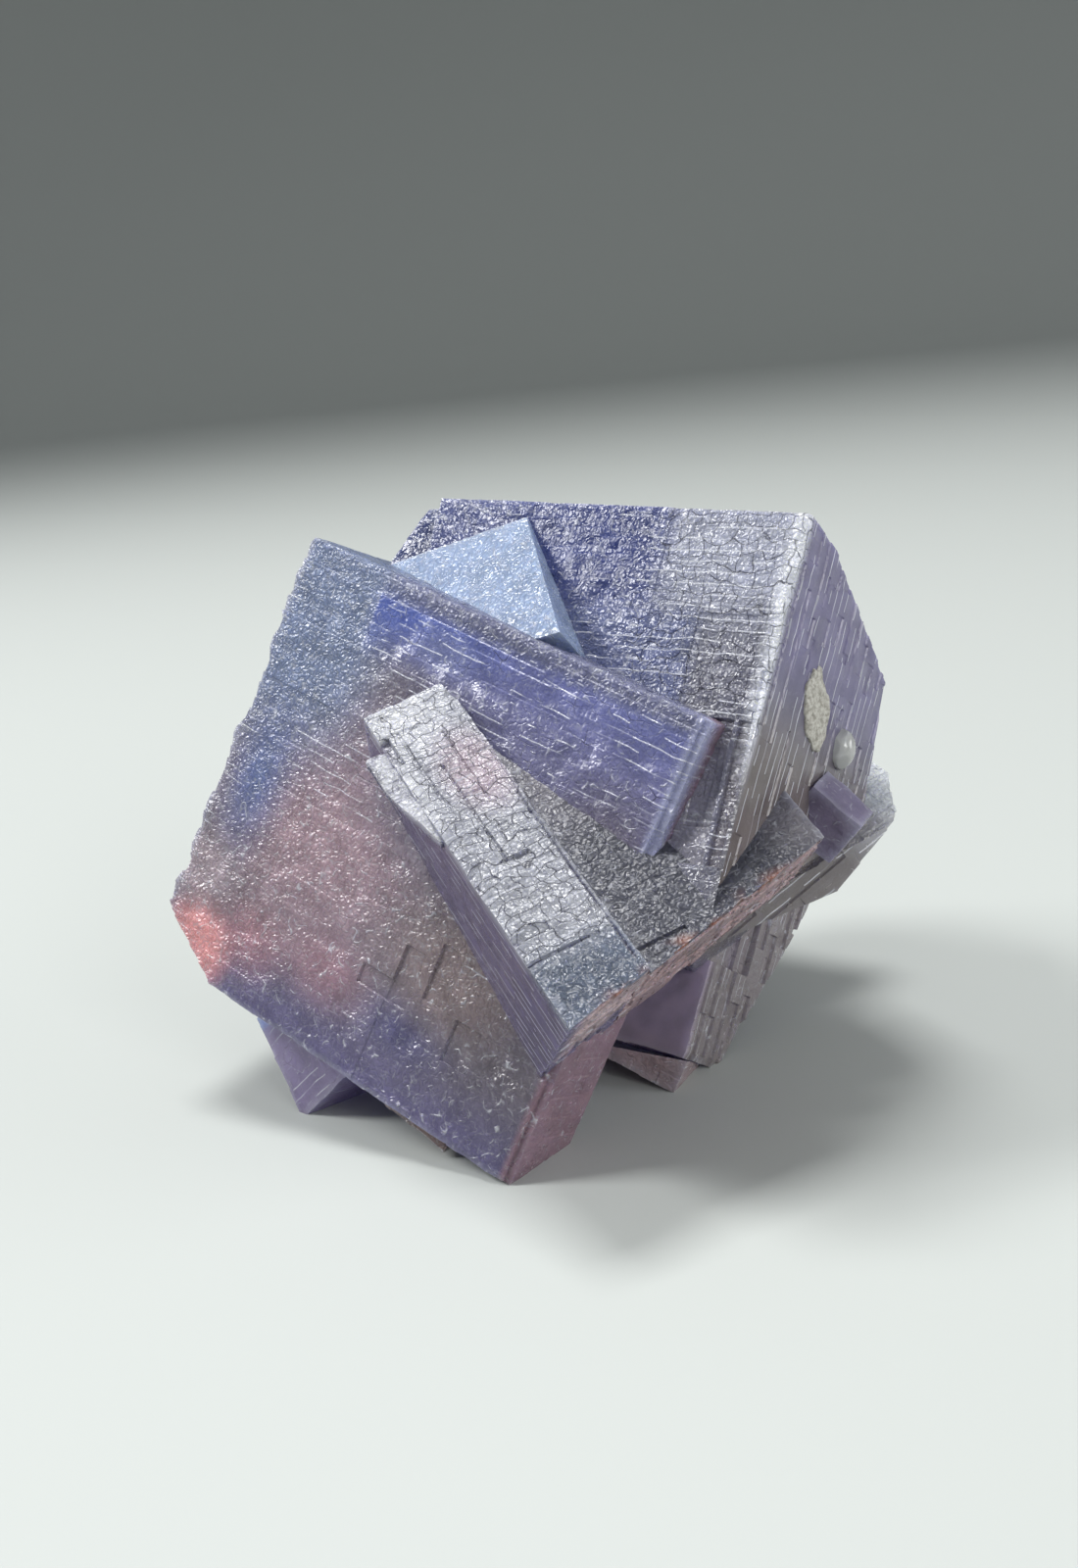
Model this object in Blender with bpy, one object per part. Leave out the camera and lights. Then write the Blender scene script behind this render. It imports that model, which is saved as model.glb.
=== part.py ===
"""Fluorite specimen: a hand-sized group of violet-blue cubes grown through each other.

The cubes are one intergrown piece, cut off flat below where the group was broken from its
rock, and it rests on that cut.  Two small bits of other minerals sit on the side of the back
cube.  Blender 4.5, metres, +Z up, origin under the middle of the group on the flat cut.
"""

import math
from dataclasses import dataclass

import bmesh
import bpy
from mathutils import Euler, Matrix, Vector

MM = 0.001

# ------------------------------------------------------------------ driving dimensions, mm
GAP = 0.3             # air between the fluorite and a bit of another mineral
ROOT = 0.6            # depth that a growth plate reaches into its crystal
FLOOR_CUT = 80.0      # side of the block that cuts the base flat
BASE_BURY = 0.0       # height of the flat cut above the lowest corner

SCAB_LENGTH = 7.2     # grey crust on the back cube's side
SCAB_WIDTH = 4.4
SCAB_RISE = 0.7
BEAD_LENGTH = 3.6     # clear grain beside the crust
BEAD_WIDTH = 2.6


@dataclass(frozen=True)
class Trim:
    """A flat that cuts a crystal: all past `reach` along `normal` (own axes) is gone."""

    normal: tuple[float, float, float]
    reach: float


@dataclass(frozen=True)
class Plate:
    """A thin growth layer, as a box in its crystal's own axes (low and high corner, mm)."""

    low: tuple[float, float, float]
    high: tuple[float, float, float]


@dataclass(frozen=True)
class Crystal:
    """A cube, own X right, own Y back, own Z up; `place` is its front bottom left corner."""

    name: str
    place: tuple[float, float, float]
    turn: tuple[float, float, float]
    size: tuple[float, float, float]
    trims: tuple[Trim, ...] = ()
    plates: tuple[Plate, ...] = ()


BIG_FACE = Crystal(
    "big_face", place=(-33.6, 3.4, 14.0), turn=(-21.7, 20.0, -39.0), size=(40.9, 22.0, 38.4),
    trims=(Trim((-0.49, 0.12, -0.87), -3.7),      # worn lower left corner
           Trim((-0.90, 0.0, 0.43), 16.2),        # small facet on the top left corner
           Trim((0.74, 0.67, 0.0), 35.4)),        # right side leans in behind its front edge
    plates=(Plate((9.6, -0.25, 13.0), (40.2, ROOT, 36.4)),
            Plate((2.4, -0.20, 8.0), (8.2, ROOT, 31.0))),
)
BACK_CUBE = Crystal(
    "back_cube", place=(-15.8, -1.8, 19.4), turn=(-30.8, 1.8, -38.2), size=(43.0, 24.0, 36.0),
    trims=(Trim((1.0, 0.0, -0.04), 34.8),         # stepped right side
           Trim((0.03, 0.17, 0.99), 33.8),        # top, falling away to the back
           Trim((0.03, 0.43, 0.90), 32.8),
           Trim((0.07, 0.98, 0.18), 25.3),
           Trim((-0.94, 0.0, 0.34), 13.2),        # left shoulder
           Trim((0.71, 0.36, -0.60), 24.0),       # underside, in line with the shelf's
           Trim((-0.77, 0.0, -0.64), -15.0)),
    plates=(Plate((29.8, -0.45, 6.5), (31.6, ROOT, 17.6)),
            Plate((32.4, -0.60, 9.0), (33.9, ROOT, 20.5)),
            Plate((34.0, 1.2, 6.0), (35.55, 3.0, 27.0)),
            Plate((34.0, 4.4, 8.0), (35.7, 6.0, 16.5)),
            Plate((34.0, 12.0, 22.0), (36.2, 13.4, 30.0))),
)
SLANTING_RIDGE = Crystal(
    "slanting_ridge", place=(7.2, -40.1, 10.1), turn=(-56.8, -12.4, 21.1),
    size=(40.0, 20.0, 45.3),
    trims=(Trim((0.19, 0.33, -0.92), -11.1),      # oblique underside
           Trim((1.0, 0.0, 0.0), 7.4)),           # long step down to the shelf
    plates=(Plate((-0.9, 0.9, 14.0), (ROOT, 6.0, 40.4)),
            Plate((0.9, -0.3, 24.0), (4.2, ROOT, 41.0)),
            Plate((2.0, -0.25, 15.5), (6.4, ROOT, 23.0))),
)
RIDGE_SHELF = Crystal(
    "ridge_shelf", place=(9.7, -29.3, 16.2), turn=(-56.8, -12.4, 21.1), size=(26.0, 14.0, 36.0),
    trims=(Trim((0.19, 0.33, -0.92), -3.5),
           Trim((1.0, 0.0, 0.0), 17.3)),
    plates=(Plate((8.2, -0.30, 9.0), (12.6, ROOT, 14.5)),),
)
PEARLY_CORNER = Crystal(
    "pearly_corner", place=(-14.4, 2.1, 33.9), turn=(-47.7, -14.0, -28.6), size=(30.0, 9.0, 14.0),
    trims=(Trim((0.04, -0.89, -0.46), 1.2),       # kept behind the big face
           Trim((0.93, 0.0, 0.35), 20.8),
           Trim((-0.79, 0.0, 0.62), 6.1)),
)
LOWER_RIGHT = Crystal(
    "lower_right", place=(-7.1, 8.3, 4.1), turn=(-32.6, 4.0, -39.1), size=(24.0, 17.0, 30.0),
    trims=(Trim((0.17, 0.87, -0.46), 9.3),),      # broken lower back
    plates=(Plate((23.0, 1.6, 6.0), (24.5, 4.2, 20.0)),
            Plate((23.0, 6.2, 8.5), (24.4, 8.4, 24.0))),
)
STRIPED_WING = Crystal(
    "striped_wing", place=(17.1, -10.2, -1.3), turn=(-0.4, -30.1, 15.9), size=(26.0, 15.0, 26.0),
    trims=(Trim((-0.31, 0.0, -0.95), -15.5),      # lower edge
           Trim((0.35, 0.0, -0.94), -3.9),
           Trim((0.18, -0.30, 0.94), 16.3),       # bright top
           Trim((0.21, 0.0, -0.98), -7.7),
           Trim((0.91, -0.08, 0.42), 30.1)),
)
LOWER_LEFT = Crystal(
    "lower_left", place=(-16.1, -7.4, 4.5), turn=(-41.1, 11.0, 46.8), size=(9.0, 8.0, 10.0))
FOOT_SLIVER = Crystal(
    "foot_sliver", place=(-17.1, 8.0, 12.9), turn=(-22.4, 22.6, -29.6), size=(34.0, 15.0, 10.0),
    trims=(Trim((-0.28, 0.11, 0.95), -6.6),))
VIOLET_CUBELET = Crystal(
    "violet_cubelet", place=(22.5, -11.3, 26.2), turn=(-77.8, 41.6, -26.2), size=(5.1, 5.0, 3.2))
ROUGH_CRUMBS = Crystal(
    "rough_crumbs", place=(-13.7, -11.9, 3.8), turn=(-3.6, 31.4, -33.1), size=(7.0, 8.0, 3.6),
    trims=(Trim((0.09, -0.51, -0.85), 1.3),))
REAR_TWIN = Crystal(
    "rear_twin", place=(-9.0, 0.9, 27.1), turn=(-52.4, -9.1, 39.5), size=(13.0, 13.0, 13.0))
REAR_CUBELET = Crystal(
    "rear_cubelet", place=(1.2, 18.0, 23.4), turn=(-10.6, 16.6, -37.5), size=(11.0, 11.0, 11.0))

GROWN_THROUGH = (BACK_CUBE, SLANTING_RIDGE, RIDGE_SHELF, PEARLY_CORNER, LOWER_RIGHT,
                 STRIPED_WING, LOWER_LEFT, FOOT_SLIVER, VIOLET_CUBELET, ROUGH_CRUMBS,
                 REAR_TWIN, REAR_CUBELET)

# middles of the two small grains on the back cube's right side: depth and height, own axes, mm
SCAB_AT = (8.3, 20.3)
SCAB_LEAN = 35.0      # degrees that the crust's long axis leans from the cube's own Z
BEAD_AT = (13.7, 19.0)


def clear_scene() -> None:
    """Remove every object that the open file holds."""
    for thing in list(bpy.data.objects):
        bpy.data.objects.remove(thing, do_unlink=True)


def make_material(name: str, colour: tuple[float, float, float], roughness: float,
                  transmission: float = 0.0) -> bpy.types.Material:
    """Return a Principled material of one colour."""
    material = bpy.data.materials.new(name)
    material.use_nodes = True
    shader = material.node_tree.nodes["Principled BSDF"]
    shader.inputs["Base Color"].default_value = (*colour, 1.0)
    shader.inputs["Roughness"].default_value = roughness
    shader.inputs["Metallic"].default_value = 0.0
    shader.inputs["Transmission Weight"].default_value = transmission
    return material


def own_frame(crystal: Crystal) -> Matrix:
    """Return the matrix from a crystal's own axes in mm to the part's frame in metres."""
    turn = Euler([math.radians(angle) for angle in crystal.turn], "XYZ")
    return Matrix.LocRotScale(Vector(crystal.place) * MM, turn, Vector((MM, MM, MM)))


def cut_flat(mesh: bmesh.types.BMesh, point: Vector, normal: Vector) -> None:
    """Cut the closed mesh by a plane, drop what lies past it and close the cut."""
    every = list(mesh.verts) + list(mesh.edges) + list(mesh.faces)
    cut = bmesh.ops.bisect_plane(mesh, geom=every, dist=1e-5, plane_co=point, plane_no=normal,
                                 clear_outer=True)
    rim = [item for item in cut["geom_cut"] if isinstance(item, bmesh.types.BMEdge)]
    if rim:
        bmesh.ops.holes_fill(mesh, edges=rim, sides=0)


def add_object(name: str, mesh: bmesh.types.BMesh, place: Matrix) -> bpy.types.Object:
    """Turn an own-frame mesh into an object with its place in its mesh."""
    bmesh.ops.transform(mesh, matrix=place, verts=mesh.verts)
    bmesh.ops.recalc_face_normals(mesh, faces=mesh.faces)
    data = bpy.data.meshes.new(name)
    mesh.to_mesh(data)
    mesh.free()
    thing = bpy.data.objects.new(name, data)
    bpy.context.collection.objects.link(thing)
    return thing


def box_mesh(low: tuple[float, ...], high: tuple[float, ...]) -> bmesh.types.BMesh:
    """Return a box between two corners."""
    mesh = bmesh.new()
    bmesh.ops.create_cube(mesh, size=1.0)
    low_corner, high_corner = Vector(low), Vector(high)
    bmesh.ops.scale(mesh, vec=high_corner - low_corner, verts=mesh.verts)
    bmesh.ops.translate(mesh, vec=(low_corner + high_corner) / 2, verts=mesh.verts)
    return mesh


def make_crystal(crystal: Crystal) -> bpy.types.Object:
    """Model one cube with its trims, in its place in the group."""
    mesh = box_mesh((0.0, 0.0, 0.0), crystal.size)
    for trim in crystal.trims:
        normal = Vector(trim.normal).normalized()
        cut_flat(mesh, normal * trim.reach, normal)
    return add_object(crystal.name, mesh, own_frame(crystal))


def make_plates(crystal: Crystal) -> list[bpy.types.Object]:
    """Model a crystal's growth plates, each sunk a little way into it."""
    return [add_object(f"{crystal.name}_plate_{number}", box_mesh(plate.low, plate.high),
                       own_frame(crystal))
            for number, plate in enumerate(crystal.plates, start=1)]


def combine(target: bpy.types.Object, other: bpy.types.Object, operation: str) -> None:
    """Join or cut `target` with `other`, which stays in the scene as a hidden guide."""
    joint = target.modifiers.new(f"{operation.lower()}_{other.name}", "BOOLEAN")
    joint.operation = operation
    joint.object = other
    joint.solver = "EXACT"
    other.hide_render = True
    other.display_type = "WIRE"


def make_cluster(material: bpy.types.Material) -> bpy.types.Object:
    """Grow the cubes into one solid and cut its base flat."""
    cluster = make_crystal(BIG_FACE)
    cluster.name = "fluorite_cluster"
    for plate in make_plates(BIG_FACE):
        combine(cluster, plate, "UNION")
    for crystal in GROWN_THROUGH:
        combine(cluster, make_crystal(crystal), "UNION")
        for plate in make_plates(crystal):
            combine(cluster, plate, "UNION")
    half = FLOOR_CUT / 2
    floor = add_object("floor_cut", box_mesh((-half, -half, -half), (half, half, BASE_BURY)),
                       Matrix.Scale(MM, 4))
    combine(cluster, floor, "DIFFERENCE")
    cluster.data.materials.append(material)
    return cluster


def side_frame(depth: float, height: float, lean: float) -> Matrix:
    """Return a frame on the back cube's right side, its Z out of the face, in mm."""
    slope = Vector(BACK_CUBE.trims[0].normal)
    out = slope.normalized()
    surface = (BACK_CUBE.trims[0].reach * slope.length - slope.z * height) / slope.x
    up = (Vector((0.0, 0.0, 1.0)) - out * out.z).normalized()
    side = up.cross(out)
    axes = Matrix((side, up, out)).transposed().to_4x4()
    spot = Matrix.Translation(Vector((surface, depth, height)) + out * GAP)
    return own_frame(BACK_CUBE) @ spot @ axes @ Matrix.Rotation(math.radians(lean), 4, "Z")


def make_dome(name: str, width: float, length: float, rise: float, rings: int, place: Matrix,
              material: bpy.types.Material) -> bpy.types.Object:
    """Model a low dome with a flat underside."""
    mesh = bmesh.new()
    bmesh.ops.create_uvsphere(mesh, u_segments=2 * rings, v_segments=rings, radius=1.0)
    bmesh.ops.scale(mesh, vec=(width / 2, length / 2, rise), verts=mesh.verts)
    cut_flat(mesh, Vector((0.0, 0.0, 0.0)), Vector((0.0, 0.0, -1.0)))
    dome = add_object(name, mesh, place)
    dome.data.materials.append(material)
    dome.data.shade_smooth()
    return dome


def main() -> None:
    """Build the group."""
    clear_scene()
    violet = make_material("violet_fluorite", (0.16, 0.15, 0.42), 0.28, transmission=0.45)
    crust = make_material("grey_crust", (0.45, 0.42, 0.36), 0.85)
    clear = make_material("clear_grain", (0.80, 0.82, 0.80), 0.12, transmission=0.8)
    make_cluster(violet)
    make_dome("calcite_scab", SCAB_WIDTH, SCAB_LENGTH, SCAB_RISE, 12,
              side_frame(*SCAB_AT, SCAB_LEAN), crust)
    make_dome("quartz_bead", BEAD_WIDTH, BEAD_LENGTH, BEAD_WIDTH / 2, 10,
              side_frame(*BEAD_AT, 0.0), clear)


main()
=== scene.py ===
"""Looks of a fluorite specimen: violet-blue cubes grown through each other.

Each cube is carved with its growth layers, the cubes are joined into one closed mesh, and every
corner of that mesh keeps its place in its own cube's axes, so that colour bands and the etched
mosaic follow each cube.  Lengths inside the crystal classes are in millimetres.
"""

from __future__ import annotations

import logging
import math
from dataclasses import dataclass, field, replace
from enum import Enum
from functools import reduce

import bmesh
import bpy
import numpy as np
from mathutils import Euler, Matrix, Vector


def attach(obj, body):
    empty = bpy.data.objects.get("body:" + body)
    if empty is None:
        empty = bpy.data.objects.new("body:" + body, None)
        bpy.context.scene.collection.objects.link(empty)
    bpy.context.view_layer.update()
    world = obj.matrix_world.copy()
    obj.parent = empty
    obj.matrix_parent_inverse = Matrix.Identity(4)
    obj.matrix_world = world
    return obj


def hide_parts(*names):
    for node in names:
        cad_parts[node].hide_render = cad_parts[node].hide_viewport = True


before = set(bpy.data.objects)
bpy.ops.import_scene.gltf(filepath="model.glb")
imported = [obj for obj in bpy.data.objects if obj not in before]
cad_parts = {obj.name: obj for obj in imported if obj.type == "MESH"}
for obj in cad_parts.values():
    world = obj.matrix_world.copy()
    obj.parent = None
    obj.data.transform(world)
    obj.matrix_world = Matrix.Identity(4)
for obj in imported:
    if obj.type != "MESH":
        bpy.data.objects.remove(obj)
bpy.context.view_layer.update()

LOG = logging.getLogger("fluorite")
MM = 0.001
RISER = 0.11  # width of the slope between two growth layers
RIM = 0.35  # width of the pale strip along a cube's edges
# pale edge colour: partly wear, partly a painted edge highlight
RIM_WEAR_AND_HIGHLIGHT = (0.55, 0.57, 0.64)
MOST_CUTS = 100  # the most lines that one subdivide call can add along an edge
FLOOR_CUT = 0.05  # half the side of the block that cuts the base flat, metres
SHARP = math.radians(24)
FLAT = 0.9999  # the least cosine between a cut's normal and those of its faces
TOUCH = 0.001  # how far from the cut its faces may lie, mm
SPARE = 4.0  # how much wider than the crystal a cut's slab is, mm
STEEP = 0.8  # a normal with more X than this has its slab lined up with Z, not X
CRUMB = 100  # an island with fewer points than this is a sliver of a union
ON_SIDE = 0.6  # how much of the iron stain a crystal's own sides take, next to its cuts
GRAIN_APART = 37.0  # keeps two cubes' mosaics from matching
KNOTS = (61, 67)  # how many random values a noise holds each way before it repeats
START = (7.3, 3.1)  # where among its knots a noise starts
UNEVEN = (0.6, 1.4)  # least and most width of a layer, as a share of the mean
USUAL = (0.3, 0.7)  # where nearly all of a noise's values lie
BLACK, WHITE = (0, 0, 0, 1), (1, 1, 1, 1)
X, Y, Z = range(3)

Vec = tuple[float, float, float]
Pair = tuple[float, float]
Colour = tuple[float, float, float]
Array = np.ndarray
Piece = bpy.types.Object
Node = bpy.types.Node
Socket = bpy.types.NodeSocket
Material = bpy.types.Material


# ---- small tools
def deselect_all() -> None:
    """Leave nothing selected, so that an operator acts on its own piece only."""
    if bpy.context.object and bpy.context.object.mode != "OBJECT":
        bpy.ops.object.mode_set(mode="OBJECT")
    bpy.ops.object.select_all(action="DESELECT")


def make_active(piece: Piece) -> None:
    """Select one piece alone and make it active.

    Args:
        piece: the piece.
    """
    deselect_all()
    piece.select_set(True)
    bpy.context.view_layer.objects.active = piece


def read(parts: bpy.types.bpy_prop_collection, name: str, kind: type = np.int32,
         width: int = 1) -> Array:
    """Return one property of all of a mesh's vertices, faces or corners.

    Args:
        parts: the vertices, faces or corners.
        name: the property.
        kind: the type of its values.
        width: how many values each part has.

    Returns:
        The values, one after the other.
    """
    values = np.empty(len(parts) * width, kind)
    parts.foreach_get(name, values)
    return values


def read_points(mesh: bpy.types.Mesh) -> Array:
    """Return a mesh's vertices as rows of x, y, z."""
    return read(mesh.vertices, "co", np.float32, 3).reshape(-1, 3).astype(np.float64)


def write_points(mesh: bpy.types.Mesh, points: Array) -> None:
    """Move a mesh's vertices to the given rows of x, y, z."""
    mesh.vertices.foreach_set("co", points.astype(np.float32).ravel())
    mesh.update()


def others(axis: int) -> list[int]:
    """Return the two axes across an axis."""
    return [other for other in (X, Y, Z) if other != axis]


def ease(share: Array) -> Array:
    """Return a share from 0 to 1 with soft ends."""
    share = np.clip(share, 0, 1)
    return share * share * (3 - 2 * share)


def rolling(u: Array, v: Array, size: Pair, seed: int) -> Array:
    """Return smooth noise from 0 to 1.

    Args:
        u: first coordinate, mm.
        v: second coordinate, mm.
        size: spacing of the noise's knots along u and v, mm.
        seed: which noise.

    Returns:
        One value for each point.
    """
    knots = np.random.default_rng(seed).random(KNOTS)
    x, y = u / size[0] + START[0], v / size[1] + START[1]
    i, j = np.floor(x).astype(int), np.floor(y).astype(int)
    fx, fy = ease(x - i), ease(y - j)
    i0, i1, j0, j1 = i % KNOTS[0], (i + 1) % KNOTS[0], j % KNOTS[1], (j + 1) % KNOTS[1]
    low = knots[i0, j0] * (1 - fx) + knots[i1, j0] * fx
    high = knots[i0, j1] * (1 - fx) + knots[i1, j1] * fx
    return low * (1 - fy) + high * fy


def runs(row: Array, along: Array, length: float, seed: int) -> Array:
    """Return a random value from 0 to 1 for each run along each of many rows.

    Args:
        row: number of each point's row.
        along: place along the row, mm.
        length: length of a run, mm.
        seed: which noise.

    Returns:
        One value for each point, the same all along a run.
    """
    rng = np.random.default_rng(seed)
    start, value = rng.random(KNOTS[0]), rng.random(KNOTS)
    line = row.astype(int) % KNOTS[0]
    return value[line, np.floor(along / length + start[line] * 9).astype(int) % KNOTS[1]]


def growth_lines(length: float, pitch: float, named: tuple[float, ...], seed: int) -> Array:
    """Return where the growth lines cross an edge: both rims of each small riser.

    Args:
        length: the edge's length, mm.
        pitch: mean width of a layer, mm.
        named: places that must have a riser, mm.
        seed: which random spacing.

    Returns:
        0, then a pair of places for each riser, then the length.
    """
    rng = np.random.default_rng(seed)
    fixed = sorted({place for place in named if 2 * RISER < place < length - 2 * RISER})
    centres: list[float] = []
    for start, end in zip([0.0, *fixed], [*fixed, length]):
        count = max(1, round((end - start) / pitch))
        widths = rng.uniform(*UNEVEN, count)
        inner = start + np.cumsum(widths)[:-1] * (end - start) / widths.sum()
        centres.extend(inner.tolist())
        if end < length:
            centres.append(end)
    spread = np.array(centres)
    pairs = np.stack([spread - RISER / 2, spread + RISER / 2], axis=1).ravel()
    return np.concatenate([[0.0], pairs, [length]])


# ---- crystal relief
class Side(Enum):
    """A side of a cube: its axis, and whether it lies at the axis's far end."""

    LEFT = (0, False)
    RIGHT = (0, True)
    FRONT = (1, False)
    BACK = (1, True)
    BOTTOM = (2, False)
    TOP = (2, True)


@dataclass(frozen=True)
class Layer:
    """A rectangle of one side that lies `drop` mm lower than the layer round it."""

    low: Pair
    high: Pair
    drop: float


@dataclass(frozen=True)
class Steps:
    """Growth steps over a side: plate after plate, each with a small drop at its end, mm."""

    axis: int  # which of the side's two coordinates they follow
    spacing: float
    drop: float
    upward: bool = True  # the drops face the axis's far end
    wander: float = 1.5  # how many steps the lines stray by
    size: Pair = (5.0, 5.0)  # over what distance they stray
    gaps: float = 0.3  # share of each line that is missing
    run: float = 3.0  # length of its runs

    def depth(self, place: Array, cell: Array, seed: int) -> Array:
        """Return how deep the steps put each point.

        Args:
            place: the points' two coordinates on the side.
            cell: the same for the middle of each point's patch.
            seed: which noise.

        Returns:
            One depth for each point.
        """
        def count(spot: Array) -> Array:
            """Return how many steps lie before each spot."""
            stray = rolling(spot[:, 0], spot[:, 1], self.size, seed)
            return spot[:, self.axis] / self.spacing + self.wander * stray

        plate = np.floor(count(cell))
        rise = np.clip(count(place) - plate, 0, 1)
        there = runs(plate + 30, cell[:, 1 - self.axis], self.run, seed + 1) > self.gaps
        return self.drop * there * ((1 - rise) if self.upward else rise)


@dataclass(frozen=True)
class Relief:
    """How a side is carved, inward from its flat, mm."""

    steps: tuple[Steps, ...] = ()
    layers: tuple[Layer, ...] = ()
    tilt: Vec = (0.0, 0.0, 0.0)  # depth at the corner, and how it grows along each coordinate
    swell: float = 0.10  # slow unevenness
    swell_size: Pair = (9.0, 9.0)
    crinkle: float = 0.02  # unevenness from line to line
    wear: float = 0.10  # blunting and chips along the side's own rims
    reach: float = 0.5
    chips: float = 0.0  # deeper bites out of the rims
    pebbles: float = 0.5  # strength of the pebbled etching, 0 to 1
    plates: float = 0.35  # share of the side with fine brick-like plates
    rough: float = 0.23  # roughness of the polish between them
    turned: bool = False  # the fine growth lines run up the side, not across it
    crinkle_size: Pair = (0.7, 0.7)
    bite_size: Pair = (1.7, 1.7)
    fray_size: Pair = (0.5, 0.5)

    def carve(self, place: Array, cell: Array, span: Pair, seed: int) -> Array:
        """Return how deep each point of the side is carved.

        Args:
            place: the points' two coordinates on the side.
            cell: the same for the middle of the layer patch that each point belongs to.
            span: the side's two lengths.
            seed: which noise.

        Returns:
            One depth for each point, 0 or more.
        """
        u, v = place.T
        cu, cv = cell.T
        depth = self.swell * rolling(u, v, self.swell_size, seed + 1)
        depth += self.crinkle * rolling(u, v, self.crinkle_size, seed + 2)
        depth += np.maximum(self.tilt[0] + self.tilt[1] * u + self.tilt[2] * v, 0)
        for number, steps in enumerate(self.steps):
            depth += steps.depth(place, cell, seed + 5 + number)
        for layer in self.layers:
            inside = (cu > layer.low[0]) & (cu < layer.high[0])
            inside &= (cv > layer.low[1]) & (cv < layer.high[1])
            depth += inside * layer.drop
        rim = np.minimum(np.minimum(u, span[0] - u), np.minimum(v, span[1] - v))
        bites = np.clip(rolling(u, v, self.bite_size, seed + 3) - 0.5, 0, 1) * 2
        fray = 0.4 + 0.6 * rolling(u, v, self.fray_size, seed + 4)
        return depth + np.exp(-rim / self.reach) * (self.wear * fray + self.chips * bites)


@dataclass(frozen=True)
class Cut:
    """A plane that ends a crystal: all past `reach` along `normal` (own axes) is gone."""

    normal: Vec
    reach: float
    relief: Relief | None = None
    pitch: float = 1.2


@dataclass(frozen=True)
class Cloud:
    """A soft ellipsoid of colour in a crystal's own axes, mm: mostly a zone inside it, some painted
    sheen on its skin.
    """

    centre: Vec
    radii: Vec
    colour: Colour
    strength: float = 1.0
    edge: float = 0.8  # share of the radius over which it fades

    def share(self, own: Array) -> Array:
        """Return how much of the cloud's colour each point takes."""
        away = np.linalg.norm((own - self.centre) / self.radii, axis=1)
        return ease((1 - away) / self.edge) * self.strength


@dataclass(frozen=True)
class Band:
    """A band of colour between limits in its crystal's own axes, mm: mostly a growth band, some
    painted highlights and sheen.

    A limit is an axis, a place and the width over which the band fades in past that place.
    Below 0, the width is the one over which it fades out.
    """

    limits: tuple[tuple[int, float, float], ...]
    colour: Colour
    strength: float = 1.0

    def share(self, own: Array) -> Array:
        """Return how much of the band's colour each point takes."""
        past = [ease((own[:, axis] - place) / fade + 0.5) for axis, place, fade in self.limits]
        return np.prod(past, axis=0) * self.strength


Zones = tuple[Cloud | Band, ...]


def blend_zones(own: Array, start: Vec, zones: Zones) -> Array:
    """Blend the values of zones over a start value, one zone after the other.

    Args:
        own: rows of x, y, z in mm.
        start: the three values where no zone reaches.
        zones: the zones, the last one on top.

    Returns:
        Rows of three values.
    """
    values = np.tile(np.array(start), (len(own), 1))
    for zone in zones:
        share = zone.share(own)[:, None]
        values = values * (1 - share) + np.array(zone.colour) * share
    return values


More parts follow.
